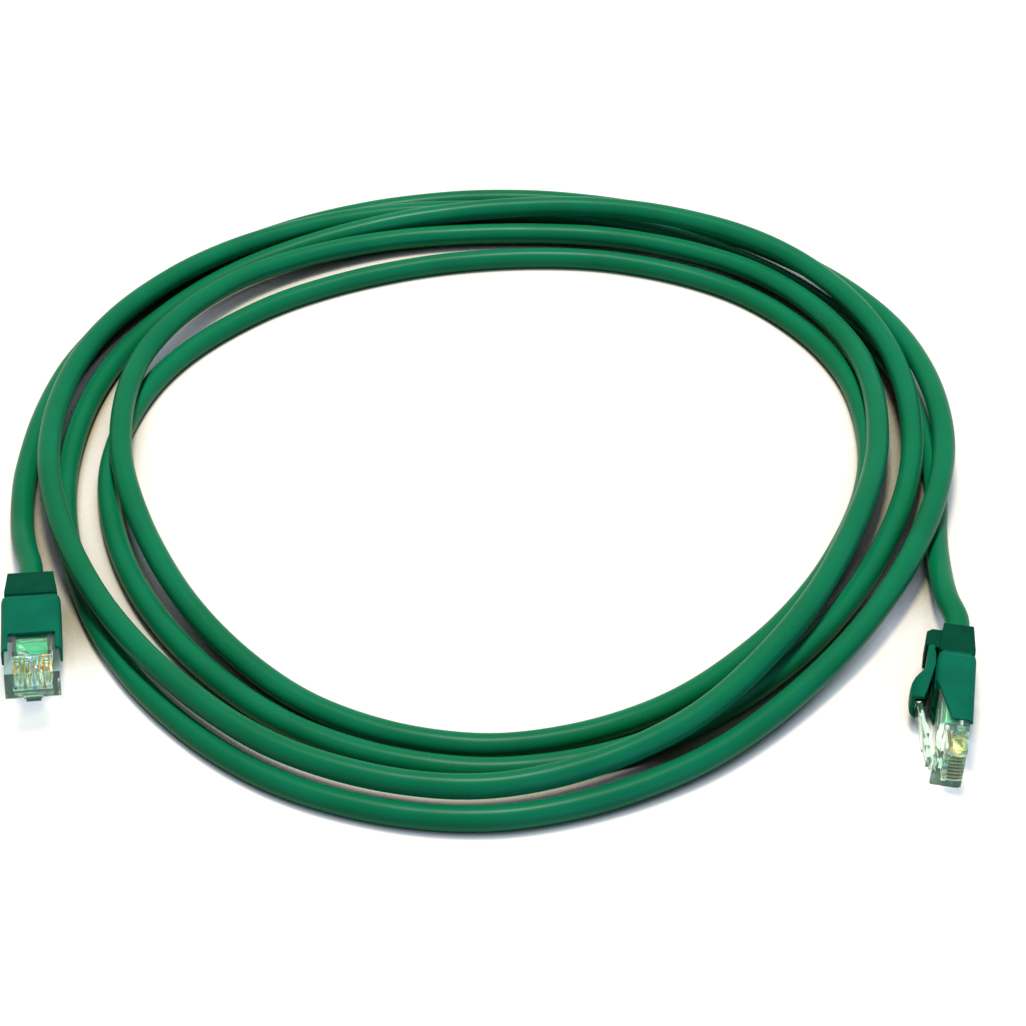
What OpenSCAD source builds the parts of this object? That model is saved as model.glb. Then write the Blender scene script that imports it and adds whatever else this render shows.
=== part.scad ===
// A coiled network patch cable: one round jacketed cable with a clear eight-contact
// plug on each end. Every plug has a sprung latch, and sits in a moulded boot whose
// flexible guard covers the latch's free end. The coil rests on the XY plane.
// Each plug is drawn in its own frame: Y runs from the boot's rear face to the nose,
// Z points to the contact side and X runs across the contacts.

/* [Cable] */
// Outer diameter of the jacket
cable_d = 5.5; // [5:0.1:6]
// Diameter of one insulated conductor
wire_d = 0.9; // [0.8:0.02:0.94]
// Diameter of the stranded copper core in a conductor
core_d = 0.5; // [0.4:0.05:0.6]

/* [Coil] */
// Mean radius of the loops
loop_r = 101; // [90:1:120]
// How far the coil leans away from round, towards its rear edge
loop_lean = 0.8; // [0:0.1:2]
// Two-lobed part of the loops' shape
loop_skew = 2.3; // [0:0.1:3]
// Three-lobed part of the loops' shape
loop_egg = 3.5; // [0:0.1:4]
// Rings of facets in one loop
rings_per_loop = 24; // [24:1:36]

/* [Plug] */
// Width across the row of contacts
plug_w = 11.7; // [11.6:0.05:11.7]
// Thickness from the latch face to the contact face
plug_h = 6.6; // [6.5:0.05:6.7]
// Length from the rear of the shell to the nose
plug_l = 21.5; // [21:0.1:22.5]
// Spacing of the contacts
pitch = 1.02; // [1.02:0.01:1.04]
// Thickness of one contact blade
blade_t = 0.34; // [0.3:0.02:0.36]

/* [Latch] */
// Length from the living hinge to the thumb end
latch_l = 16.5; // [16:0.1:17]
// Width across the locking shoulders
latch_w = 6; // [5.8:0.05:6.1]
// Thickness of the tab
latch_t = 1.1; // [0.9:0.05:1.2]
// Angle between the relaxed tab and the shell
latch_slope = 11; // [10.5:0.5:12]

/* [Boot] */
// Overall length
boot_l = 30; // [29:0.5:31]
// Width of the front section
boot_w = 13; // [12.9:0.1:13.2]
// Thickness of the front section
boot_h = 8.3; // [8.2:0.1:8.6]
// Length of the tapered relief behind the front section
relief_l = 9.4; // [9:0.2:10]
// Width of the snag guard
guard_w = 7.6; // [7:0.1:8]

/* [Hidden] */
CONDUCTORS = ["white_orange", "orange", "white_green", "blue",
              "white_blue", "green", "white_brown", "brown"];
ENDS = ["a", "b"];
$fn = 48;

jacket_green = [0.10, 0.50, 0.27];
boot_green = [0.06, 0.46, 0.34];
clear = [0.86, 0.92, 0.88, 0.45];
gold = [0.85, 0.66, 0.25];
copper = [0.80, 0.45, 0.28];
wire_colours = [[0.95, 0.72, 0.50], [0.95, 0.50, 0.10], [0.70, 0.88, 0.72], [0.12, 0.30, 0.75],
                [0.68, 0.78, 0.92], [0.12, 0.55, 0.25], [0.80, 0.70, 0.60], [0.45, 0.28, 0.15]];

// ---- how the coil lies -------------------------------------------------------------
// Where each loop runs, at every eighth of a turn from the left side over the rear:
// millimetres outside the mean loop, and millimetres above the surface.
stations = 8;
lanes = [[ 12,  12,  19,   4,  11,   7,  11,   8],
         [  1,   3,   4,   2,   2,   1,  -4,  -7],
         [ -6, -17, -13, -10,  -8,  -8, -10, -15],
         [-12,  -2,  -3,  -2,  -9,  -3,   7,   2],
         [  7,   8,  12,  -1,   8]];
lifts = [[  0,   0,   0,   3,   9,   2,   0,   0],
         [  0,   0,   5,  11,   4,   0,   0,   0],
         [  0,   0,   0,   0,   0,   0,   0,   0],
         [  8,   4,   0,   3,   7,   8,   3,   6],
         [  7,   5,   0,   0,   0]];
lane_before = 14;
lane_after = 12;
loops = 4.5;
cable_r = cable_d / 2;
// The cable is pressed flat by a tenth of its diameter where it lies on the surface.
rest_z = cable_r - cable_d / 10;

function flat(rows) = [for (row = rows) for (v = row) v];
lane_list = flat(lanes);
lift_list = flat(lifts);
function lane_at(i) = i < 0 ? lane_before : i >= len(lane_list) ? lane_after : lane_list[i];
function lift_at(i) = i < 0 || i >= len(lift_list) ? 0 : lift_list[i];
// A smooth cubic blend of four neighbouring stations.
function blend(a, b, c, d, t) =
    (pow(1 - t, 3) * a + (3 * pow(t, 3) - 6 * t * t + 4) * b
     + (-3 * pow(t, 3) + 3 * t * t + 3 * t + 1) * c + pow(t, 3) * d) / 6;
function lane(x) = let (i = floor(x), t = x - i)
    blend(lane_at(i - 1), lane_at(i), lane_at(i + 1), lane_at(i + 2), t);
function lift(x) = let (i = floor(x), t = x - i)
    blend(lift_at(i - 1), lift_at(i), lift_at(i + 1), lift_at(i + 2), t);
function mean_loop(a) = loop_r + loop_lean * sin(a) + loop_skew * sin(2 * a) + loop_egg * sin(3 * a);
// The cable's centre after u turns, clockwise seen from above, from the left side.
function coil_point(u) = let (a = 180 - 360 * u, r = mean_loop(a) + lane(stations * u))
    [r * cos(a), r * sin(a), rest_z + lift(stations * u)];
function unit(v) = v / norm(v);
coil_rings = round(loops * rings_per_loop);
coil_points = [for (i = [0:coil_rings]) coil_point(loops * i / coil_rings)];
// The ends run straight for one diameter, square to the leads that they meet.
coil_start_dir = unit(coil_points[1] - coil_points[0]);
coil_end_dir = unit(coil_points[coil_rings] - coil_points[coil_rings - 1]);
coil_start = coil_points[0] - cable_d * coil_start_dir;
coil_end = coil_points[coil_rings] + cable_d * coil_end_dir;
coil_route = concat([coil_start], coil_points, [coil_end]);

// Distance from point p to the stretch a-b.
function to_stretch(p, a, b) = let (ab = b - a, t = max(0, min(1, (p - a) * ab / (ab * ab))))
    norm(p - a - t * ab);
coil_gap = min([for (i = [0:coil_rings]) for (j = [i + rings_per_loop / 2:1:coil_rings - 1])
    to_stretch(coil_points[i], coil_points[j], coil_points[j + 1])]) - cable_d;
echo(least_gap_of_the_coil_to_itself = coil_gap);

// ---- where the plugs lie -----------------------------------------------------------
// Centre of each boot's rear face, its heading from -Y towards +X, pitch and roll. One
// plug lies contact side up on its snag guard, and the other on its narrow side.
plug_at = [[-104.3, -47.7, 6.73], [103.6, -65.6, boot_w / 2]];
plug_heading = [11, -11];
plug_pitch = [7.8, 0];
plug_roll = [-5, -90];
// Route points of the free stretches, from the coil to the boot.
lead_points = [[[-112.5, -14, 2.2], [-110.9, -24, 2.6], [-108.5, -33, 4.4]],
               [[107.2, -14, 2.2], [105.2, -27, 2.4], [104, -40, 3.8], [103.7, -52, 5.8]]];
lead_sides = 8;
// Middle of the whole cable's outline on the surface.
middle = [-1.84, 0.05];

function plug_dir(e) = let (h = plug_heading[e], p = plug_pitch[e])
    [sin(h) * cos(p), -cos(h) * cos(p), sin(p)];
function lead_route(e) = let (start = e == 0 ? coil_start : coil_end,
        out = e == 0 ? -coil_start_dir : coil_end_dir)
    concat([start, start + cable_r * out], lead_points[e],
           [plug_at[e] - cable_d * plug_dir(e), plug_at[e]]);

// ---- sweeping a tube ---------------------------------------------------------------
function heading_at(p, i) = let (n = len(p) - 1)
    unit(i == 0 ? p[1] - p[0] : i == n ? p[n] - p[n - 1] : unit(p[i + 1] - p[i]) + unit(p[i] - p[i - 1]));
// Corners of one ring, square to the route; what would dip below z = low is flat.
function ring(c, d, r, sides, turn, low) = let (side = unit(cross(d, [0, 0, 1])), up = cross(side, d))
    [for (k = [0:sides - 1]) let (a = turn + 360 * k / sides, q = c + r * cos(a) * side + r * sin(a) * up)
        [q[0], q[1], max(low, q[2])]];
module tube(p, r, sides, low = 0) {
    turn = sides == 6 ? 0 : 180 / sides;
    n = len(p);
    last = (n - 1) * sides;
    corners = [for (i = [0:n - 1]) each ring(p[i], heading_at(p, i), r, sides, turn, low)];
    walls = [for (i = [0:n - 2]) for (k = [0:sides - 1])
        let (a = i * sides + k, b = i * sides + (k + 1) % sides)
        each [[a, b, b + sides], [a, b + sides, a + sides]]];
    caps = [for (k = [1:sides - 2]) each [[0, k + 1, k], [last, last + k, last + k + 1]]];
    polyhedron(corners, concat(walls, caps));
}

module jacket_coil() {
    color(jacket_green) tube(coil_route, cable_r, 6);
}

module lead(e) {
    color(jacket_green) tube(lead_route(e), cable_r, lead_sides);
}

// ---- inside and outside of one plug, in the plug's own frame -----------------------
// Running clearance between pieces.
fit = 0.05;
nose_y = 38.8;
shell_y0 = nose_y - plug_l;
half_w = plug_w / 2;
half_h = plug_h / 2;
// Axis of the latch's rounded root, under the nose.
hinge_y = nose_y - 1.4;
hinge_z = -half_h - 0.15;
hinge_r = 0.55;
hinge_w = 4;
// The round jacket is pressed flat ahead of neck_y, and is stripped ahead of jacket_tip_y.
neck_y = 15.6;
jacket_tip_y = nose_y - 9;
jacket_w = 8;
jacket_h = 4.2;
jacket_z = -0.2;
// Mouth of the plug that takes the flattened jacket.
mouth_w = 8.4;
mouth_h = 4.6;
mouth_corner = 1.2;
// The conductors lie in one row behind the contacts, from fan_end_y to wire_tip_y.
fan_end_y = nose_y - 6.4;
wire_tip_y = nose_y - 1;
wire_z = -0.6;
row_w = 8.3;
// Slots in the nose, and the blades that stand in them.
slot_w = blade_t + 0.1;
slot_y = [nose_y - 5.8, nose_y - 0.9];
blade_y = [slot_y[0] + 0.2, slot_y[1] - 0.2];
blade_z = [0.2, 2.7];
// Windows for the bars that grip the jacket and hold the conductors.
clamp_y = [nose_y - 16.4, nose_y - 13];
clamp_w = 6.4;
clamp_z = 1.35;
press_y = [nose_y - 8.6, nose_y - 6.8];
press_w = 8.2;
press_z = 0.95;

function pin_x(i) = (i - 3.5) * pitch;
// The two limits of a width that is centred on zero.
function about(w) = [-w / 2, w / 2];
function mirrored(pts) = [for (p = pts) [-p[0], p[1]]];
function reversed(pts) = [for (i = [len(pts) - 1:-1:0]) pts[i]];
function turned(pts) = [for (p = pts) [p[1], p[0]]];

// Rounded rectangle around the origin.
module rounded(w, h, r) {
    square([w - 2 * r, h], center = true);
    square([w, h - 2 * r], center = true);
    for (x = [-1, 1], y = [-1, 1]) translate([x * (w / 2 - r), y * (h / 2 - r)]) circle(r);
}
// Extrudes a profile drawn in X and Z along Y, from y0 to y1.
module along(y0, y1) {
    translate([0, y1, 0]) rotate([90, 0, 0]) linear_extrude(y1 - y0) children();
}
// Extrudes a profile drawn in Y and Z across the width w.
module across(w) {
    translate([-w / 2, 0, 0]) rotate([90, 0, 90]) linear_extrude(w) children();
}
// A rod of radius r and width w across the plug.
module rod(r, w) {
    rotate([0, 90, 0]) cylinder(r = r, h = w, center = true);
}
module block(x, y, z) {
    translate([x[0], y[0], z[0]]) cube([x[1] - x[0], y[1] - y[0], z[1] - z[0]]);
}

module plug_shell() {
    nose_top = 1.5;
    nose_bottom = 0.8;
    nose_side = 0.5;
    fan_z = [-1.6, 1.1];
    color(clear) difference() {
        intersection() {
            across(plug_w) polygon([
                [shell_y0, -half_h], [nose_y - nose_bottom, -half_h], [nose_y, -half_h + nose_bottom],
                [nose_y, half_h - nose_top], [nose_y - 0.9, half_h], [shell_y0, half_h]]);
            linear_extrude(plug_h, center = true) polygon([
                [-half_w, shell_y0], [half_w, shell_y0], [half_w, nose_y - nose_side],
                [half_w - nose_side, nose_y], [nose_side - half_w, nose_y], [-half_w, nose_y - nose_side]]);
        }
        // mouth and chamber for the jacket
        along(shell_y0 - 1, jacket_tip_y + 0.3) translate([0, jacket_z]) rounded(mouth_w, mouth_h, mouth_corner);
        // room where the conductors fan out, and the tunnel for their row
        block(about(row_w), [jacket_tip_y, fan_end_y], fan_z);
        block(about(row_w), [fan_end_y - 1, wire_tip_y + 0.2], [wire_z - 0.5, wire_z + 0.5]);
        // slots for the contacts
        for (i = [0:7]) translate([pin_x(i), 0, 0]) block(about(slot_w), slot_y, [wire_z, half_h + 1]);
        // windows for the two bars
        block(about(clamp_w), clamp_y, [0, half_h + 1]);
        block(about(press_w), press_y, [0, half_h + 1]);
        // seat of the latch's rounded root
        translate([0, hinge_y, hinge_z]) rod(hinge_r + fit, hinge_w + 0.2);
    }
}

// The tab's outline, drawn from its root towards the thumb end: a neck, two locking
// shoulders and a narrow tail.
module latch() {
    neck = 1.6;
    tail = 2;
    shoulder = latch_w / 2;
    shoulder_y = 5.2;
    half = [[neck, 0], [neck, -shoulder_y], [shoulder, -shoulder_y - 0.2], [shoulder, -shoulder_y - 2.6],
            [tail, -shoulder_y - 4.4], [tail, 1 - latch_l], [tail - 1, -latch_l]];
    color(clear) translate([0, hinge_y, hinge_z]) {
        rod(hinge_r, hinge_w);
        rotate([latch_slope, 0, 0]) translate([0, 0, -latch_t - 0.1])
            linear_extrude(latch_t) polygon(concat(half, reversed(mirrored(half))));
    }
}

// Axis of the snag guard's rounded root, on the boot's latch side.
guard_y = 7;
guard_z = -boot_h / 2 - 1.2;
guard_r = 0.8;
guard_wall = 0.8;
// Front edge and outermost face of the guard's hood.
hood_y = 22.6;
hood_z = -9.2;

// One edge of the boot's outline: tapered relief, waist, and front section up to y = end.
function boot_edge(rear, relief, front, end) = let (y1 = relief_l, y2 = relief_l + 1.2) [
    [rear / 2 - 0.5, 0], [rear / 2, 0.5], [relief / 2, y1 - 1], [relief / 2, y1], [front / 2 - 1, y1],
    [front / 2 - 1, y2 - 0.6], [front / 2 - 0.4, y2], [front / 2, y2 + 1], [front / 2, end]];

module boot() {
    ear = 0.8;
    // widths and thicknesses at the rear face and at the relief's front
    rear_w = 10.2;
    relief_w = 11.6;
    rear_h = 6.6;
    relief_h = 7.7;
    plan = boot_edge(rear_w, relief_w, boot_w, boot_l);
    contact_side = boot_edge(rear_h, relief_h, boot_h, boot_l);
    // the latch side is cut away in a slope ahead of the hood
    latch_side = concat(boot_edge(rear_h, relief_h, boot_h, hood_y - 4), [[0.3, boot_l]]);
    contact_side_end = boot_l - 5.6;
    latch_opening_y = hood_y - 3.6;
    lug_y = 1.5;
    lug_z = guard_z - 1.4;
    lug_base = -3;
    slot = guard_wall + 0.25;
    slot_y = [guard_y + 1.2, latch_opening_y + 1];
    slot_z = -3.1;
    color(boot_green) difference() {
        union() {
            intersection() {
                along(0, boot_l) rounded(boot_w, boot_h, 1.5);
                linear_extrude(boot_h, center = true) polygon(concat(plan, reversed(mirrored(plan))));
                across(boot_w) polygon(turned(concat(contact_side, reversed(mirrored(latch_side)))));
            }
            // lug that carries the guard's root
            across(guard_w) polygon([[lug_y, lug_base], [lug_y, lug_z + 1.2], [lug_y + 1, lug_z],
                                     [guard_y - 0.4, lug_z], [guard_y, guard_z], [guard_y, lug_base]]);
        }
        // bore for the cable, room for the flattened jacket, and pocket for the plug
        rotate([-90, 0, 0]) translate([0, 0, -1]) cylinder(d = cable_d + 2 * fit, h = neck_y + 1);
        along(neck_y - 1.1, shell_y0 + 1) translate([0, jacket_z])
            rounded(mouth_w, mouth_h + 1, mouth_corner);
        block(about(plug_w + 2 * fit), [shell_y0 - fit, boot_l + 1], about(plug_h + 2 * fit));
        // the contact side ends between two ears, and the latch side is open
        block(about(plug_w - 2 * ear), [contact_side_end, boot_l + 1], [0, boot_h]);
        block(about(guard_w + 0.3), [latch_opening_y, boot_l + 1], [-boot_h, 0]);
        // slots that the guard's walls sink into, and seat of its rounded root
        for (x = [-1, 1]) translate([x * (guard_w - guard_wall) / 2, 0, 0])
            block(about(slot), slot_y, [-boot_h, slot_z]);
        translate([0, guard_y, guard_z]) rod(guard_r + fit, guard_w + 1);
    }
}

// Arched section of the snag guard, seen along the plug.
module arch(w, corner) {
    translate([0, hood_z / 2]) rounded(w, -hood_z, corner);
}
// A flexible strip rises from the boot and widens into a hood over the latch's tail.
module snag_guard() {
    // seen from the side: the outside, the walls' free edges, and the hollow between them
    outside = [[guard_y, guard_z - guard_r], [11.5, -6.2], [13.8, -6.4], [15, -7.3], [16.2, -8.3],
               [17.4, -8.95], [18.6, hood_z], [20, hood_z], [21, -9.05], [hood_y - 0.7, -8.8]];
    free_edges = [[hood_y, -6.25], [20, -5.6], [17, -5.1], [12, -4.25], [9, -4.35],
                  [guard_y + 1, guard_z + guard_r], [guard_y, guard_z + 0.4]];
    hollow = [[hood_y + 1, -7.8], [hood_y - 0.7, -8], [20.9, -8.25], [20, hood_z + guard_wall],
              [18.7, hood_z + guard_wall], [17.7, -8.2], [16.6, -7.6], [15.5, -6.65], [14.1, -5.65],
              [11.5, -5.4], [8.6, -5.1], [8.6, 0], [hood_y + 1, 0]];
    color(boot_green) {
        translate([0, guard_y, guard_z]) rod(guard_r, guard_w);
        difference() {
            intersection() {
                across(guard_w) polygon(concat(outside, free_edges));
                along(0, boot_l) arch(guard_w, 2.7);
            }
            intersection() {
                across(guard_w - 2 * guard_wall) polygon(hollow);
                along(0, boot_l) translate([0, guard_wall]) arch(guard_w - 2 * guard_wall, 2);
            }
        }
    }
}

module jacket_end() {
    color(jacket_green) difference() {
        union() {
            rotate([-90, 0, 0]) cylinder(d = cable_d, h = neck_y);
            along(neck_y, jacket_tip_y) translate([0, jacket_z]) rounded(jacket_w, jacket_h, 1.1);
        }
        // dent under the bar
        block(about(clamp_w + 0.2), [clamp_y[0] - 0.1, clamp_y[1] + 0.1], [clamp_z - fit, jacket_h]);
    }
}

// Bar folded down onto the jacket, with a bevelled biting edge.
module jacket_clamp() {
    top = half_h - 0.5;
    color(clear) across(clamp_w - 2 * fit) polygon([
        [clamp_y[0] + fit, top], [clamp_y[1] - fit, top], [clamp_y[1] - fit, clamp_z + 0.55],
        [clamp_y[0] + 1.2, clamp_z], [clamp_y[0] + fit, clamp_z]]);
}

// Bar that holds the conductors down behind the contacts.
module wire_clamp() {
    top = half_h - 1;
    color(clear) across(press_w - 2 * fit) polygon([
        [press_y[0] + fit, top], [press_y[1] - fit, top], [press_y[1] - fit, press_z + 0.45],
        [press_y[1] - 0.6, press_z], [press_y[0] + fit, press_z]]);
}

// Contact blade: rounded front corner on top, two prongs that pierce the conductor.
module contact(i) {
    crown = 0.9;
    prong_l = 0.8;
    prong_y = [blade_y[0] + 0.7, blade_y[0] + 3.1];
    prong_tip_z = wire_z - 0.1;
    prong_base_z = blade_z[0] + 0.1;
    notch_y = [blade_y[0] + 0.7, blade_y[0] + 1.5];
    notch_z = [1.6, 2.1];
    color(gold) translate([pin_x(i), 0, 0]) difference() {
        union() {
            block(about(blade_t), [blade_y[0], blade_y[1] - crown], blade_z);
            block(about(blade_t), blade_y, [blade_z[0], blade_z[1] - crown]);
            translate([0, blade_y[1] - crown, blade_z[1] - crown]) rod(crown, blade_t);
            for (y = prong_y) across(blade_t) polygon([
                [y, prong_base_z], [y + prong_l, prong_base_z], [y + prong_l, prong_tip_z + 0.3],
                [y + prong_l / 2, prong_tip_z], [y, prong_tip_z + 0.3]]);
        }
        block([-1, 1], notch_y, notch_z);
    }
}

// The conductors leave the jacket in two rows, close together.
jacket_pitch = 0.62;
row_gap = 1.1;
rows_z = wire_z + 0.3;
function fan_x(i) = (i - 3.5) * jacket_pitch;
function fan_z(i) = rows_z + (i % 2 == 0 ? row_gap : -row_gap) / 2;
// Centre line of a conductor, from there to its place in one row behind the contacts.
// over lengthens both ends.
function wire_route(i, over) = [
    [fan_x(i), jacket_tip_y + fit - over, fan_z(i)], [fan_x(i), jacket_tip_y + 0.4, fan_z(i)],
    [pin_x(i), fan_end_y, wire_z], [pin_x(i), wire_tip_y + over, wire_z]];
wire_sides = 8;

module wire(i) {
    color(wire_colours[i]) difference() {
        tube(wire_route(i, 0), wire_d / 2, wire_sides, -boot_w);
        tube(wire_route(i, 1), core_d / 2 + 0.02, wire_sides, -boot_w);
    }
}

module cores() {
    color(copper) for (i = [0:7]) tube(wire_route(i, 0), core_d / 2, wire_sides, -boot_w);
}

// Puts a plug's piece where end e lies.
module placed(e) {
    centred() translate(plug_at[e]) rotate([0, 0, 180 + plug_heading[e]])
        rotate([plug_pitch[e], 0, 0]) rotate([0, plug_roll[e], 0]) children();
}
module centred() {
    translate([-middle[0], -middle[1], 0]) children();
}

centred() jacket_coil();
centred() lead(0);  // lead_a
centred() lead(1);  // lead_b
for (e = [0, 1]) {
    placed(e) plug_shell();
    placed(e) latch();
    placed(e) boot();
    placed(e) snag_guard();
    placed(e) jacket_end();
    placed(e) jacket_clamp();
    placed(e) wire_clamp();
    placed(e) cores();
    for (i = [0:7]) {
        placed(e) contact(i);
        placed(e) wire(i);
    }
}
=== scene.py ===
import bmesh
import bpy
import math
from mathutils import Matrix, Vector


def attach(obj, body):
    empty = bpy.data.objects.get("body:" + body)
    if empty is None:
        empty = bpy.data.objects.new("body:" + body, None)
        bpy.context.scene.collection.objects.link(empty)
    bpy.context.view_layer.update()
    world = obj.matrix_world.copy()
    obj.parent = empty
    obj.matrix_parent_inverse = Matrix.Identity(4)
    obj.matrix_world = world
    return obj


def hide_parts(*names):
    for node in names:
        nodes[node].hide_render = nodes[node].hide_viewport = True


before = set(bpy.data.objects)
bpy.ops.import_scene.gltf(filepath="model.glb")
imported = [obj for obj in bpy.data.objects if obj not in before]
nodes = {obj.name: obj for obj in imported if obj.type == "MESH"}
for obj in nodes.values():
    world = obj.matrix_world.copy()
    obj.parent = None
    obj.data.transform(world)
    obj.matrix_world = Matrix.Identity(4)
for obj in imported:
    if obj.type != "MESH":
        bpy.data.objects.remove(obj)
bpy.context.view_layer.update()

mm = 0.001

# ---- Camera ------------------------------------------------------------------------
# A small studio camera stands in front of the cable and looks down on the loops. It is
# near enough that the loops' far side looks smaller than the near side. Lengths are in
# millimetres, and MIDDLE is where the object's own frame lies in the coil's.
MIDDLE = Vector((-1.84, 0.05, 0.0))
CAMERA_DISTANCE = 524.0
CAMERA_ELEVATION = math.radians(42.0)
LOOKS_AT = Vector((5.4, -16.5, 0.0)) - MIDDLE
FRAME_PIXELS = 1026
FOCAL_PIXELS = 2180.0

camera = bpy.data.objects.new("camera", bpy.data.cameras.new("camera"))
bpy.context.scene.collection.objects.link(camera)
bpy.context.scene.camera = camera
back = Vector((0.0, -math.cos(CAMERA_ELEVATION), math.sin(CAMERA_ELEVATION)))
camera.location = (LOOKS_AT + CAMERA_DISTANCE * back) * mm
camera.rotation_euler = (math.pi / 2 - CAMERA_ELEVATION, 0.0, 0.0)
camera.data.sensor_fit = "HORIZONTAL"
camera.data.sensor_width = 36.0
camera.data.lens = camera.data.sensor_width * FOCAL_PIXELS / FRAME_PIXELS
camera.data.clip_start = 0.01
camera.data.clip_end = 20.0

# ---- Cable jacket ------------------------------------------------------------------
# The round jacket is soft extruded PVC over four twisted pairs, with a satin skin. It
# lies in four and a half loose loops, pressed a little flat where it touches the table,
# and runs into the boot of a plug at each end.
CABLE_D = 5.5
CABLE_R = CABLE_D / 2
REST_Z = CABLE_R - CABLE_D / 10
LOOP_R, LOOP_LEAN, LOOP_SKEW, LOOP_EGG = 101.0, 0.8, 2.3, 3.5
LOOPS = 4.5
STATIONS = 8
# How far outside the mean loop, and how far above the table, each loop runs at every
# eighth of a turn, from the left side over the rear.
LANES = [[12, 12, 19, 4, 11, 7, 11, 8],
         [1, 3, 4, 2, 2, 1, -4, -7],
         [-6, -17, -13, -10, -8, -8, -10, -15],
         [-12, -2, -3, -2, -9, -3, 7, 2],
         [7, 8, 12, -1, 8]]
LIFTS = [[0, 0, 0, 3, 9, 2, 0, 0],
         [0, 0, 5, 11, 4, 0, 0, 0],
         [0, 0, 0, 0, 0, 0, 0, 0],
         [8, 4, 0, 3, 7, 8, 3, 6],
         [7, 5, 0, 0, 0]]
LANE_BEFORE, LANE_AFTER = 14, 12
# Where each boot's rear face is, and how the plug lies: heading, pitch and roll.
PLUG_AT = {"a": Vector((-104.3, -47.7, 6.73)), "b": Vector((103.6, -65.6, 6.5))}
PLUG_TURN = {"a": (11.0, 7.8, -5.0), "b": (-11.0, 0.0, -90.0)}
LEADS = {"a": [(-112.5, -14, 2.2), (-110.9, -24, 2.6), (-108.5, -33, 4.4)],
         "b": [(107.2, -14, 2.2), (105.2, -27, 2.4), (104.0, -40, 3.8), (103.7, -52, 5.8)]}
INTO_BOOT = 3.0
COIL_POINTS, ROUTE_STRIDE, SPAN_PARTS = 432, 6, 12
RING_STEP = 1.6
JACKET_SIDES = 28
# The four pairs inside wind round each other and show faintly through the jacket.
TWIST_LAY = 46.0
MEAN_SHARE, RIPPLE = 0.992, 0.006


def station(rows, i, before, after):
    """The value at the coil's i-th station, or what stands before or after them all."""
    flat = [value for row in rows for value in row]
    if i < 0:
        return before
    return flat[i] if i < len(flat) else after


def blend(rows, x, before, after):
    """A smooth cubic blend of the four stations round x."""
    i = math.floor(x)
    t = x - i
    weights = ((1 - t) ** 3, 3 * t ** 3 - 6 * t * t + 4,
               -3 * t ** 3 + 3 * t * t + 3 * t + 1, t ** 3)
    return sum(w * station(rows, i - 1 + k, before, after) for k, w in enumerate(weights)) / 6


def coil_point(u):
    """The cable's centre after u turns, clockwise seen from above, from the left side."""
    a = math.pi - 2 * math.pi * u
    mean = (LOOP_R + LOOP_LEAN * math.sin(a) + LOOP_SKEW * math.sin(2 * a)
            + LOOP_EGG * math.sin(3 * a))
    r = mean + blend(LANES, STATIONS * u, LANE_BEFORE, LANE_AFTER)
    return Vector((r * math.cos(a), r * math.sin(a), REST_Z + blend(LIFTS, STATIONS * u, 0, 0)))


def plug_frame(end):
    """Carries a plug's own frame, in millimetres, to where that plug lies."""
    heading, pitch, roll = (math.radians(a) for a in PLUG_TURN[end])
    turned = (Matrix.Rotation(math.pi + heading, 4, "Z") @ Matrix.Rotation(pitch, 4, "X")
              @ Matrix.Rotation(roll, 4, "Y"))
    return Matrix.Scale(mm, 4) @ Matrix.Translation(PLUG_AT[end] - MIDDLE) @ turned


def curve_through(points, step):
    """Points a step apart on a smooth curve through the given points."""
    dense = []
    padded = [2 * points[0] - points[1]] + points + [2 * points[-1] - points[-2]]
    for a, b, c, d in zip(padded, padded[1:], padded[2:], padded[3:]):
        ta, tc = (b - a).length, (c - b).length
        td = (d - c).length
        m1 = ((b - a) / ta * tc + (c - b) / tc * ta) / (ta + tc)
        m2 = ((c - b) / tc * td + (d - c) / td * tc) / (tc + td)
        for k in range(SPAN_PARTS):
            t = k / SPAN_PARTS
            dense.append((2 * t ** 3 - 3 * t * t + 1) * b + (t ** 3 - 2 * t * t + t) * tc * m1
                         + (3 * t * t - 2 * t ** 3) * c + (t ** 3 - t * t) * tc * m2)
    dense.append(points[-1])
    return evenly(dense, step)


def evenly(points, step):
    """The same line, with points evenly about a step apart."""
    along = [0.0]
    for a, b in zip(points, points[1:]):
        along.append(along[-1] + (b - a).length)
    count = max(2, round(along[-1] / step))
    out, k = [], 0
    for i in range(count + 1):
        s = along[-1] * i / count
        while k < len(points) - 2 and along[k + 1] < s:
            k += 1
        t = (s - along[k]) / max(along[k + 1] - along[k], 1e-9)
        out.append(points[k].lerp(points[k + 1], min(max(t, 0.0), 1.0)))
    return out


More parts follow.
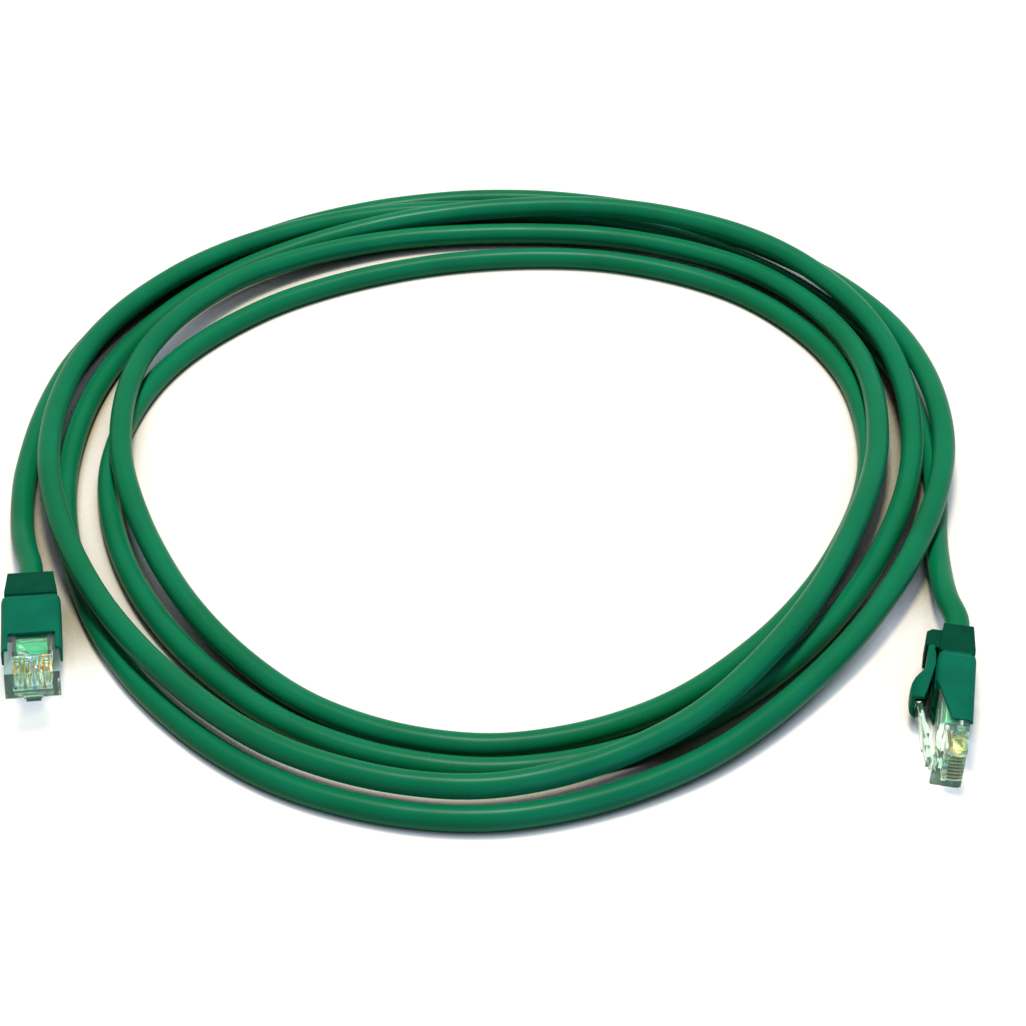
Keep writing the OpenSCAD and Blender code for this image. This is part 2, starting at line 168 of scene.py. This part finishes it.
def tube_mesh(name, points, radius, sides, floor):
    """A tube round a line of points. radius(i, angle) may vary; the floor presses it flat."""
    verts, faces = [], []
    side = (points[1] - points[0]).cross(Vector((0, 0, 1))).normalized()
    for i, p in enumerate(points):
        ahead = points[min(i + 1, len(points) - 1)]
        behind = points[max(i - 1, 0)]
        d = (ahead - behind).normalized()
        side = (side - d * side.dot(d)).normalized()
        up = side.cross(d)
        for k in range(sides):
            a = 2 * math.pi * k / sides
            q = p + radius(i, a) * (math.cos(a) * side + math.sin(a) * up)
            q.z = max(q.z, floor)
            verts.append(q)
    for i in range(len(points) - 1):
        for k in range(sides):
            n = (k + 1) % sides
            faces.append((i * sides + k, i * sides + n, (i + 1) * sides + n, (i + 1) * sides + k))
    last = (len(points) - 1) * sides
    faces.append(tuple(reversed(range(sides))))
    faces.append(tuple(last + k for k in range(sides)))
    mesh = bpy.data.meshes.new(name)
    mesh.from_pydata([v * mm for v in verts], [], faces)
    mesh.validate()
    bm = bmesh.new()
    bm.from_mesh(mesh)
    bmesh.ops.recalc_face_normals(bm, faces=bm.faces)
    bm.to_mesh(mesh)
    bm.free()
    mesh.shade_smooth()
    return mesh


def new_object(name, mesh, material, body, slot, *replaced):
    """A piece of the given mesh and material, which rides on a body and stands for nodes."""
    piece = bpy.data.objects.new(name, mesh)
    bpy.context.scene.collection.objects.link(piece)
    mesh.materials.append(material)
    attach(piece, body)
    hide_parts(*replaced)
    return piece


def new_group(name, inputs, outputs):
    """An empty group of shader nodes, with its input and output nodes."""
    group = bpy.data.node_groups.new(name, "ShaderNodeTree")
    for label, value in inputs.items():
        socket = group.interface.new_socket(label, in_out="INPUT", socket_type="NodeSocketFloat")
        socket.default_value = value
    for label in outputs:
        group.interface.new_socket(label, in_out="OUTPUT", socket_type="NodeSocketFloat")
    return group, group.nodes.new("NodeGroupInput"), group.nodes.new("NodeGroupOutput")


def noise_node(tree, detail, roughness=0.5, distortion=0.0):
    """A noise that is fixed to the piece, so that it travels with it."""
    place = tree.nodes.new("ShaderNodeTexCoord")
    cloud = tree.nodes.new("ShaderNodeTexNoise")
    cloud.inputs["Detail"].default_value = detail
    cloud.inputs["Roughness"].default_value = roughness
    cloud.inputs["Distortion"].default_value = distortion
    tree.links.new(place.outputs["Object"], cloud.inputs["Vector"])
    return cloud


def remapped(tree, value, low, high, to_low=0.0, to_high=1.0):
    """A value whose stretch from low to high becomes the one from to_low to to_high."""
    span = tree.nodes.new("ShaderNodeMapRange")
    ends = {"From Min": low, "From Max": high, "To Min": to_low, "To Max": to_high}
    for socket, number in ends.items():
        span.inputs[socket].default_value = number
    tree.links.new(value, span.inputs["Value"])
    return span.outputs["Result"]


def combined(tree, operation, first, second):
    """Two values worked into one."""
    node = tree.nodes.new("ShaderNodeMath")
    node.operation = operation
    tree.links.new(first, node.inputs[0])
    tree.links.new(second, node.inputs[1])
    return node.outputs[0]


skin_grain, takes, gives = new_group(
    "skin_grain", {"Grain Scale": 2500.0, "Mottle Scale": 60.0}, ["Height", "Mottle"])
fine = noise_node(skin_grain, 3.0, 0.6)
slow = noise_node(skin_grain, 2.0)
skin_grain.links.new(takes.outputs["Grain Scale"], fine.inputs["Scale"])
skin_grain.links.new(takes.outputs["Mottle Scale"], slow.inputs["Scale"])
skin_grain.links.new(fine.outputs["Fac"], gives.inputs["Height"])
skin_grain.links.new(remapped(skin_grain, slow.outputs["Fac"], 0.36, 0.64), gives.inputs["Mottle"])

handling_marks, takes, gives = new_group(
    "handling_marks", {"Mark Scale": 900.0, "Amount": 0.3}, ["Mark"])
rubs = noise_node(handling_marks, 5.0, 0.75, 1.5)
where = noise_node(handling_marks, 1.0)
where.inputs["Scale"].default_value = 70.0
handling_marks.links.new(takes.outputs["Mark Scale"], rubs.inputs["Scale"])
worn = combined(handling_marks, "MULTIPLY",
                remapped(handling_marks, rubs.outputs["Fac"], 0.52, 0.66),
                remapped(handling_marks, where.outputs["Fac"], 0.48, 0.62))
faint = combined(handling_marks, "MULTIPLY", worn, takes.outputs["Amount"])
handling_marks.links.new(faint, gives.inputs["Mark"])


def placed_group(tree, group, **values):
    """A group placed in a material, with its own values."""
    node = tree.nodes.new("ShaderNodeGroup")
    node.node_tree = group
    for label, value in values.items():
        node.inputs[label.replace("_", " ")].default_value = value
    return node


def blended(tree, mask, first, second):
    """One colour over another by a mask. first is a colour or a colour socket."""
    mix = tree.nodes.new("ShaderNodeMix")
    mix.data_type = "RGBA"
    tree.links.new(mask, mix.inputs["Factor"])
    if isinstance(first, tuple):
        mix.inputs["A"].default_value = (*first, 1.0)
    else:
        tree.links.new(first, mix.inputs["A"])
    mix.inputs["B"].default_value = (*second, 1.0)
    return mix.outputs["Result"]


GRAIN_DEPTH = 0.00005


def finish(name, colour, shade, mark, roughness, spread, bump, grain=2500.0, mottle=60.0,
           rubs=900.0, amount=0.3, **sockets):
    """A surface whose colour drifts to shade and whose roughness drifts by spread. It has
    a fine grain of strength bump, and faint rubs in the colour mark."""
    material = bpy.data.materials.new(name)
    material.use_nodes = True
    tree = material.node_tree
    shader = tree.nodes["Principled BSDF"]
    skin = placed_group(tree, skin_grain, Grain_Scale=grain, Mottle_Scale=mottle)
    marks = placed_group(tree, handling_marks, Mark_Scale=rubs, Amount=amount)
    drift = blended(tree, skin.outputs["Mottle"], colour, shade)
    tree.links.new(blended(tree, marks.outputs["Mark"], drift, mark), shader.inputs["Base Color"])
    rough = remapped(tree, skin.outputs["Mottle"], 0.0, 1.0, roughness - spread, roughness + spread)
    tree.links.new(rough, shader.inputs["Roughness"])
    relief = tree.nodes.new("ShaderNodeBump")
    relief.inputs["Strength"].default_value = bump
    relief.inputs["Distance"].default_value = GRAIN_DEPTH
    tree.links.new(skin.outputs["Height"], relief.inputs["Height"])
    tree.links.new(relief.outputs["Normal"], shader.inputs["Normal"])
    for socket, value in sockets.items():
        shader.inputs[socket.replace("_", " ")].default_value = value
    return material


def lead(end, first, out):
    """The free stretch from the coil's first point into the boot at that end."""
    rear = PLUG_AT[end]
    into = (plug_frame(end).to_3x3() @ Vector((0, 1, 0))).normalized()
    middle = [Vector(p) for p in LEADS[end]]
    return [first + CABLE_D * out] + middle + [rear - CABLE_D * into, rear, rear + INTO_BOOT * into]


def jacket_radius(i, a):
    """The jacket's radius at its i-th ring, at an angle round it."""
    twist = 2 * math.pi * i * RING_STEP / TWIST_LAY
    return CABLE_R * (MEAN_SHARE + RIPPLE * math.cos(2 * (a - twist)))


coil = [coil_point(LOOPS * i / COIL_POINTS) for i in range(COIL_POINTS + 1)]
start_dir = (coil[1] - coil[0]).normalized()
end_dir = (coil[-1] - coil[-2]).normalized()
route = (list(reversed(lead("a", coil[0], -start_dir))) + coil[::ROUTE_STRIDE]
         + lead("b", coil[-1], end_dir))
cable_line = [p - MIDDLE for p in curve_through(route, RING_STEP)]
jacket_green = finish("jacket_pvc", (0.0024, 0.180, 0.070),
                      shade=(0.0018, 0.150, 0.055), mark=(0.020, 0.22, 0.110),
                      roughness=0.34, spread=0.05, bump=0.25, mottle=45.0,
                      Specular_IOR_Level=0.09)
jacket = new_object("cable_jacket",
                    tube_mesh("cable_jacket", cable_line, jacket_radius, JACKET_SIDES, 0.0),
                    jacket_green, "cable", "jacket", "jacket_coil", "lead_a", "lead_b")

# ---- Jacket ends -------------------------------------------------------------------
# Inside each plug the jacket's end is squeezed from round to a flat oval. A folded bar
# bites into its top, and the skin is cut square where the conductors come out.
NOSE_Y = 38.8
NECK_Y = 15.6
JACKET_TIP_Y = NOSE_Y - 9.0
END_W, END_H, END_DROP = 8.0, 4.2, 0.2
SQUEEZE_START, SQUEEZE_L = 2.4, 2.6
ROUND_POWER, FLAT_POWER = 2.0, 3.6
SKIN_T = 0.55
CUT_DEPTH, CUT_EDGE = 1.6, 0.1
CLAMP_Y = (NOSE_Y - 16.4, NOSE_Y - 13.0)
CLAMP_HALF_W, CLAMP_GROOVE_Z = 3.5, 1.3
BITE_L, BITE_W = 0.5, 0.4
END_BACK_Y, END_STEPS, END_SIDES = 0.4, 72, 48


def settled(t):
    """A smooth step from 0 to 1."""
    t = min(max(t, 0.0), 1.0)
    return t * t * (3 - 2 * t)


def end_section(y, inset):
    """The jacket's outline at y, round behind the neck and a flat oval ahead of it."""
    flat = settled((y - NECK_Y + SQUEEZE_START) / SQUEEZE_L)
    half_w = CABLE_R + (END_W / 2 - CABLE_R) * flat - inset
    half_h = CABLE_R + (END_H / 2 - CABLE_R) * flat - inset
    power = ROUND_POWER + (FLAT_POWER - ROUND_POWER) * flat
    dip = settled((y - CLAMP_Y[0]) / BITE_L) * settled((CLAMP_Y[1] - y) / BITE_L)
    outline = []
    for k in range(END_SIDES):
        a = 2 * math.pi * k / END_SIDES
        c, q = math.cos(a), math.sin(a)
        x = half_w * math.copysign(abs(c) ** (2 / power), c)
        z = half_h * math.copysign(abs(q) ** (2 / power), q) - END_DROP * flat
        bitten = settled((CLAMP_HALF_W - abs(x)) / BITE_W) * dip
        outline.append(Vector((x, y, z + min(0.0, CLAMP_GROOVE_Z - inset - z) * bitten)))
    return outline


def loft(bm, rows):
    """Closed faces through rows of vertices, with a flat face on both ends."""
    sides = len(rows[0])
    for a, b in zip(rows, rows[1:]):
        for k in range(sides):
            bm.faces.new((a[k], a[(k + 1) % sides], b[(k + 1) % sides], b[k]))
    bm.faces.new(list(reversed(rows[0])))
    bm.faces.new(rows[-1])


def mesh_from(bm, name, end, sharp):
    """A smooth mesh, carried from its plug's own frame to where that plug lies. Edges
    of more than sharp degrees stay sharp."""
    bmesh.ops.recalc_face_normals(bm, faces=bm.faces)
    bm.transform(plug_frame(end))
    mesh = bpy.data.meshes.new(name)
    bm.to_mesh(mesh)
    bm.free()
    mesh.shade_smooth()
    mesh.set_sharp_from_angle(angle=math.radians(sharp))
    return mesh


for end in "ab":
    name = f"jacket_end_{end}"
    length = JACKET_TIP_Y - CUT_EDGE - END_BACK_Y
    outlines = [end_section(END_BACK_Y + length * i / END_STEPS, 0.0) for i in range(END_STEPS + 1)]
    outlines += [end_section(JACKET_TIP_Y, CUT_EDGE),
                 end_section(JACKET_TIP_Y, SKIN_T - CUT_EDGE / 2),
                 end_section(JACKET_TIP_Y - CUT_EDGE, SKIN_T),
                 end_section(JACKET_TIP_Y - CUT_DEPTH, SKIN_T + CUT_EDGE)]
    bm = bmesh.new()
    loft(bm, [[bm.verts.new(p) for p in outline] for outline in outlines])
    new_object(f"{name}_skin", mesh_from(bm, f"{name}_skin", end, sharp=40),
               jacket_green, "cable", "jacket", name)

# ---- Conductors --------------------------------------------------------------------
# Eight conductors leave the jacket in two rows, fan out to the pitch of the contacts and
# end in one row. Each is stranded copper in a coloured skin, four of them striped white.
ORDER = ["white_orange", "orange", "white_green", "blue",
         "white_blue", "green", "white_brown", "brown"]
COLOURS = {"orange": (0.80, 0.16, 0.010), "blue": (0.010, 0.055, 0.36),
           "green": (0.010, 0.19, 0.040), "brown": (0.14, 0.052, 0.020)}
WIRES = len(ORDER)
PITCH = 1.02
WIRE_R, CORE_R, CORE_PLAY = 0.45, 0.25, 0.02
WIRE_Z = -0.6
FAN_END_Y, WIRE_TIP_Y, CORE_TIP_Y = NOSE_Y - 6.4, NOSE_Y - 1.0, NOSE_Y - 1.05
# In the jacket the conductors lie closer together, in an upper and a lower row.
ROW_PITCH, ROW_GAP, ROWS_Z = 0.62, 1.1, WIRE_Z + 0.3
IN_JACKET, OUT_OF_JACKET = 1.5, 0.35
WIRE_STEP = 0.22
WIRE_SIDES, STRIPE_SIDES, STRIPE_STEPS = 16, 4, 4
STRANDS, STRAND_SIDES, STRAND_TURN = 7, 6, 0.12
STRAND_R = CORE_R / 3.05


def conductor_line(i, tip):
    """The centre of the i-th conductor, from inside the jacket to its tip in the nose."""
    place = i - (WIRES - 1) / 2
    row_x, pin_x = place * ROW_PITCH, place * PITCH
    row_z = ROWS_Z + (ROW_GAP if i % 2 == 0 else -ROW_GAP) / 2
    points = [Vector((row_x, JACKET_TIP_Y - IN_JACKET, row_z)),
              Vector((row_x, JACKET_TIP_Y + OUT_OF_JACKET, row_z)),
              Vector((pin_x, FAN_END_Y, WIRE_Z)), Vector((pin_x, tip, WIRE_Z))]
    return curve_through(points, WIRE_STEP)


def across(line, k):
    """Two directions square to a line and to each other, at its k-th point."""
    d = (line[min(k + 1, len(line) - 1)] - line[max(k - 1, 0)]).normalized()
    side = (Vector((1, 0, 0)) - d * d.x).normalized()
    return side, side.cross(d)


def ring(bm, centre, r, sides, side, up):
    """A ring of vertices round a centre."""
    angles = [2 * math.pi * j / sides for j in range(sides)]
    return [bm.verts.new(centre + r * (math.cos(a) * side + math.sin(a) * up)) for a in angles]


def insulation_mesh(name, i, end, striped):
    """A hollow skin round a conductor. Its stripe winds slowly round it."""
    line = conductor_line(i, WIRE_TIP_Y)
    bm = bmesh.new()
    outer, inner = ([ring(bm, p, r, WIRE_SIDES, *across(line, k)) for k, p in enumerate(line)]
                    for r in (WIRE_R, CORE_R + CORE_PLAY))
    for k in range(len(line) - 1):
        for j in range(WIRE_SIDES):
            n = (j + 1) % WIRE_SIDES
            wall = bm.faces.new((outer[k][j], outer[k][n], outer[k + 1][n], outer[k + 1][j]))
            bm.faces.new((inner[k][n], inner[k][j], inner[k + 1][j], inner[k + 1][n]))
            if striped and (j - k // STRIPE_STEPS) % WIRE_SIDES < STRIPE_SIDES:
                wall.material_index = 1
    for row in (0, -1):
        for j in range(WIRE_SIDES):
            n = (j + 1) % WIRE_SIDES
            bm.faces.new((outer[row][j], outer[row][n], inner[row][n], inner[row][j]))
    return mesh_from(bm, name, end, sharp=50)


def strand_mesh(name, end):
    """Eight cores, each of six fine strands laid in a slow twist round a seventh."""
    bm = bmesh.new()
    for i in range(WIRES):
        line = conductor_line(i, CORE_TIP_Y)
        for strand in range(STRANDS):
            rows = []
            for k, p in enumerate(line):
                side, up = across(line, k)
                turn = 2 * math.pi * strand / (STRANDS - 1) + STRAND_TURN * k
                away = 0.0 if strand == STRANDS - 1 else 2 * STRAND_R
                centre = p + away * (math.cos(turn) * side + math.sin(turn) * up)
                rows.append(ring(bm, centre, STRAND_R, STRAND_SIDES, side, up))
            loft(bm, rows)
    return mesh_from(bm, name, end, sharp=65)


def insulation(name, colour):
    """The surface of one conductor's skin, with a deeper drift and paler rubs."""
    deep = tuple(0.8 * part for part in colour)
    pale = tuple(min(1.0, 1.25 * part + 0.01) for part in colour)
    return finish(f"insulation_{name}", colour, shade=deep, mark=pale,
                  roughness=0.38, spread=0.05, bump=0.12, grain=4000.0, mottle=500.0)


skins = {name: insulation(name, colour) for name, colour in COLOURS.items()}
white_skin = insulation("white", (0.66, 0.65, 0.58))
bare_copper = finish("bare_copper", (0.86, 0.42, 0.24),
                     shade=(0.62, 0.26, 0.13), mark=(0.92, 0.56, 0.36),
                     roughness=0.30, spread=0.08, bump=0.1, grain=6000.0, mottle=900.0,
                     Metallic=1.0)
for end in "ab":
    for i, name in enumerate(ORDER):
        striped = name.startswith("white_")
        piece_name = f"wire_{end}_{name}_skin"
        skin = insulation_mesh(piece_name, i, end, striped)
        new_object(piece_name, skin, white_skin if striped else skins[name],
                   "cable", f"wire_{name}", f"wire_{end}_{name}")
        if striped:
            skin.materials.append(skins[name.removeprefix("white_")])
    new_object(f"cores_{end}_strands", strand_mesh(f"cores_{end}_strands", end),
               bare_copper, "cable", "copper", f"cores_{end}")

# ---- Plug shells -------------------------------------------------------------------
# The plug's body is one clear polycarbonate moulding. Its rear takes the jacket, its
# nose has eight narrow slots for the contacts, and two windows let the bars fold in.
EDGE_R = 0.07
SAME_POINT, SAME_PLANE, EDGE_ANGLE = 0.002, math.radians(1.5), math.radians(35)


def node_mesh(name, end):
    """A copy of a rigid piece's mesh in its plug's own frame, in millimetres."""
    mesh = nodes[name].data.copy()
    mesh.transform(plug_frame(end).inverted())
    mesh.materials.clear()
    return mesh


def eased(mesh, name, end, width, segments=2):
    """Merges a mesh's flat faces and rounds its sharp edges by width."""
    bm = bmesh.new()
    bm.from_mesh(mesh)
    bmesh.ops.remove_doubles(bm, verts=bm.verts, dist=SAME_POINT)
    bmesh.ops.dissolve_limit(bm, angle_limit=SAME_PLANE, verts=bm.verts, edges=bm.edges)
    bm.to_mesh(mesh)
    bm.free()
    holder = bpy.data.objects.new(name, mesh)
    bpy.context.scene.collection.objects.link(holder)
    bevel = holder.modifiers.new("eased edges", "BEVEL")
    bevel.width = width
    bevel.segments = segments
    bevel.limit_method = "ANGLE"
    bevel.angle_limit = EDGE_ANGLE
    return applied(holder, name, end, sharp=30)


def applied(holder, name, end, sharp):
    """The holder's mesh with its modifiers worked in, carried to where the plug lies."""
    graph = bpy.context.evaluated_depsgraph_get()
    mesh = bpy.data.meshes.new_from_object(holder.evaluated_get(graph))
    bpy.data.objects.remove(holder)
    mesh.name = name
    mesh.transform(plug_frame(end))
    mesh.shade_smooth()
    mesh.set_sharp_from_angle(angle=math.radians(sharp))
    return mesh


clear_plastic = finish("clear_polycarbonate", (0.74, 0.94, 0.79),
                       shade=(0.68, 0.92, 0.74), mark=(0.72, 0.86, 0.76),
                       roughness=0.07, spread=0.03, bump=0.04, grain=700.0, mottle=150.0,
                       rubs=1600.0, amount=0.25, IOR=1.36, Transmission_Weight=0.95)
for end in "ab":
    name = f"plug_shell_{end}"
    shell = new_object(f"{name}_body", eased(node_mesh(name, end), f"{name}_body", end, EDGE_R),
                       clear_plastic, "cable", "clear_shell", name)
    shell.visible_shadow = False

# ---- Contacts ----------------------------------------------------------------------
# Eight gold-plated blades stand in the nose. Each is stamped from thin sheet, with a
# rounded crown that meets the socket and two prongs that pierce its conductor.
BLADE_EDGE_R = 0.035
gold_plate = finish("gold_plate", (0.86, 0.55, 0.15),
                    shade=(0.74, 0.43, 0.09), mark=(0.92, 0.70, 0.34),
                    roughness=0.24, spread=0.06, bump=0.08, grain=5000.0, mottle=1200.0,
                    rubs=3000.0, Metallic=1.0)
for end in "ab":
    for i in range(1, WIRES + 1):
        name = f"contact_{end}{i}"
        blade = eased(node_mesh(name, end), f"{name}_blade", end, BLADE_EDGE_R)
        new_object(f"{name}_blade", blade, gold_plate, "cable", "contact", name)

# ---- Clamping bars -----------------------------------------------------------------
# Two bars of the shell's own plastic are folded down in its windows. The wide one grips
# the jacket, and the one behind the contacts holds the conductors in their row.
for end in "ab":
    for bar in ("jacket_clamp", "wire_clamp"):
        name = f"{bar}_{end}"
        piece = new_object(f"{name}_bar", eased(node_mesh(name, end), f"{name}_bar", end, EDGE_R),
                           clear_plastic, "cable", "clear_shell", name)
        piece.visible_shadow = False

# ---- Latches -----------------------------------------------------------------------
# Each latch is a springy clear tab that hinges under the nose. Its shoulders lock behind
# the socket's edge, and its narrow tail is pressed to let the plug go.
TAB_EDGE_R = 0.12
for end in "ab":
    name = f"latch_{end}"
    tab = new_object(f"{name}_tab",
                     eased(node_mesh(name, end), f"{name}_tab", end, TAB_EDGE_R, segments=3),
                     clear_plastic, name, "clear_shell", name)
    tab.visible_shadow = False

# ---- Boots -------------------------------------------------------------------------
# Each boot is moulded in satin green elastomer round the cable and the plug's rear. Its
# tapered relief keeps the cable from kinking, and two ears hold the shell's sides.
RELIEF_L = 9.4
VOXEL, SOFTENING_ROUNDS, FACES_KEPT = 0.13, 6, 0.22


def moulded_mesh(mesh, name, end):
    """A soft moulding of the mesh's form, with its edges and corners rounded off."""
    holder = bpy.data.objects.new(name, mesh)
    bpy.context.scene.collection.objects.link(holder)
    skin = holder.modifiers.new("even skin", "REMESH")
    skin.mode = "VOXEL"
    skin.voxel_size = VOXEL
    soft = holder.modifiers.new("rounded edges", "SMOOTH")
    soft.factor = 0.5
    soft.iterations = SOFTENING_ROUNDS
    lighter = holder.modifiers.new("fewer faces", "DECIMATE")
    lighter.ratio = FACES_KEPT
    return applied(holder, name, end, sharp=60)


boot_green = finish("boot_elastomer", (0.0008, 0.146, 0.078),
                    shade=(0.0006, 0.122, 0.064), mark=(0.010, 0.18, 0.100),
                    roughness=0.50, spread=0.06, bump=0.35, grain=3200.0, mottle=140.0,
                    amount=0.35, Specular_IOR_Level=0.05)
# The relief takes a darker copy of the boot's green: a painted shade, as if its surface lay in
# shade.
relief_painted_shade = finish("relief_elastomer_painted_shade", (0.0008, 0.066, 0.032),
                      shade=(0.0006, 0.054, 0.026), mark=(0.008, 0.11, 0.06),
                      roughness=0.66, spread=0.05, bump=0.5, grain=2200.0, mottle=140.0,
                      amount=0.35, Specular_IOR_Level=0.04)
for end in "ab":
    name = f"boot_{end}"
    moulding = moulded_mesh(node_mesh(name, end), f"{name}_moulding", end)
    new_object(f"{name}_moulding", moulding, boot_green, "cable", "boot", name)
    moulding.materials.append(relief_painted_shade)
    to_plug = plug_frame(end).inverted()
    # The relief's faces get the darker copy, the painted shade.
    for face in moulding.polygons:
        if (to_plug @ face.center).y < RELIEF_L:
            face.material_index = 1

# ---- Snag guards -------------------------------------------------------------------
# The snag guard is moulded with the boot. Its strip bends at the root, and its arched
# hood covers the latch's tail, so that the tail can't catch when the cable is pulled.
for end in "ab":
    name = f"snag_guard_{end}"
    new_object(f"{name}_hood", moulded_mesh(node_mesh(name, end), f"{name}_hood", end),
               boot_green, f"guard_{end}", "boot", name)

# ---- Table and light ---------------------------------------------------------------
# The cable lies on pale paper under a soft lamp, with a blue fill from the front right.
# The paper glows white for the camera. In the narrow gaps between the loops an occlusion mask takes
# that glow away and mixes a dark painted shade into its cream colour.
TABLE_HALF = 4.0
PAPER_GLOW, PAPER_GLOW_COLOUR = 0.70, (0.78, 0.84, 1.0, 1.0)
GAP_REACH, GAP_SAMPLES = 0.012, 8
# The dark colour mixed into the paper as painted shade where the gaps close in.
PAINTED_GAP_SHADE = (0.05, 0.06, 0.045)
# How open the paper is where its painted shade starts and is full, and where its glow starts and is
# full; the glow that the gaps lose is painted shade too.
SHADE_FROM, SHADE_FULL = 0.44, 0.12
GLOW_FROM, GLOW_FULL = 0.42, 0.66
# The middle of a plug's clear end, and how far round it the paper's glow is painted on, a painted
# light for the light that comes through.
CLEAR_Y = NOSE_Y - 7
CLEAR_NEAR, CLEAR_FAR = 0.011, 0.015
ROOM_LIGHT, ROOM_COLOUR = 0.12, (0.85, 0.94, 1.0, 1.0)
corners = [(x * TABLE_HALF, y * TABLE_HALF, 0) for x, y in ((-1, -1), (1, -1), (1, 1), (-1, 1))]
table_mesh = bpy.data.meshes.new("table")
table_mesh.from_pydata(corners, [], [(0, 1, 2, 3)])
table = bpy.data.objects.new("table", table_mesh)
bpy.context.scene.collection.objects.link(table)


def seen_directly(tree):
    """1 for what the camera sees directly, in gloss or through clear plastic."""
    path = tree.nodes.new("ShaderNodeLightPath").outputs
    seen = combined(tree, "MAXIMUM", path["Is Camera Ray"], path["Is Glossy Ray"])
    return combined(tree, "MAXIMUM", seen, path["Is Transmission Ray"])


def painted_light_through(tree, value, end):
    """Paints the paper's glow on under a plug, as painted light for the light its clear plastic
    lets through.
    """
    place = tree.nodes.new("ShaderNodeNewGeometry")
    away = tree.nodes.new("ShaderNodeVectorMath")
    away.operation = "DISTANCE"
    tree.links.new(place.outputs["Position"], away.inputs[0])
    away.inputs[1].default_value = plug_frame(end) @ Vector((0, CLEAR_Y, 0))
    near = remapped(tree, away.outputs["Value"], CLEAR_NEAR, CLEAR_FAR, 1.0, 0.0)
    return combined(tree, "MAXIMUM", value, near)


table_top = finish("table_paper", (0.57, 0.48, 0.30),
                   shade=(0.55, 0.46, 0.28), mark=(0.59, 0.50, 0.33),
                   roughness=0.85, spread=0.03, bump=0.1, grain=900.0, mottle=12.0,
                   rubs=400.0, Specular_IOR_Level=0.1)
tree = table_top.node_tree
paper = tree.nodes["Principled BSDF"].inputs
openness = tree.nodes.new("ShaderNodeAmbientOcclusion")
openness.samples = GAP_SAMPLES
openness.inputs["Distance"].default_value = GAP_REACH
# Painted shade: the paper's colour darkens where the occlusion mask finds it closed in between the
# loops.
painted_gap_shade_mask = remapped(tree, openness.outputs["AO"], SHADE_FROM, SHADE_FULL)
cream = paper["Base Color"].links[0].from_socket
tree.links.new(blended(tree, painted_gap_shade_mask, cream, PAINTED_GAP_SHADE), paper["Base Color"])
# The glow fades out in the same gaps, which is painted shade as well.
painted_glow_mask = remapped(tree, openness.outputs["AO"], GLOW_FROM, GLOW_FULL)
# Painted light: under each plug the glow stays on, whatever the gaps' painted shade says.
for end in "ab":
    painted_glow_mask = painted_light_through(tree, painted_glow_mask, end)
glow = combined(tree, "MULTIPLY", remapped(tree, painted_glow_mask, 0.0, 1.0, 0.0, PAPER_GLOW),
                seen_directly(tree))
tree.links.new(glow, paper["Emission Strength"])
paper["Emission Color"].default_value = PAPER_GLOW_COLOUR
table_mesh.materials.append(table_top)

world = bpy.data.worlds.new("studio")
bpy.context.scene.world = world
world.use_nodes = True
tree = world.node_tree
room = tree.nodes["Background"].inputs
room["Color"].default_value = ROOM_COLOUR
tree.links.new(remapped(tree, seen_directly(tree), 0.0, 1.0, ROOM_LIGHT, 1.0), room["Strength"])


def lamp(name, place, size, watts, colour=(1.0, 1.0, 1.0)):
    """A square lamp that faces the middle of the table."""
    light = bpy.data.lights.new(name, "AREA")
    light.size = size
    light.energy = watts
    light.color = colour
    piece = bpy.data.objects.new(name, light)
    bpy.context.scene.collection.objects.link(piece)
    piece.location = place
    piece.rotation_euler = (-Vector(place)).to_track_quat("-Z", "Y").to_euler()


lamp("key_lamp", (0.0, 0.14, 0.95), size=0.18, watts=9.6)
lamp("fill_lamp", (0.5, -0.8, 0.25), size=0.5, watts=3.8, colour=(0.12, 0.48, 1.0))

bpy.context.scene.view_settings.view_transform = "Standard"
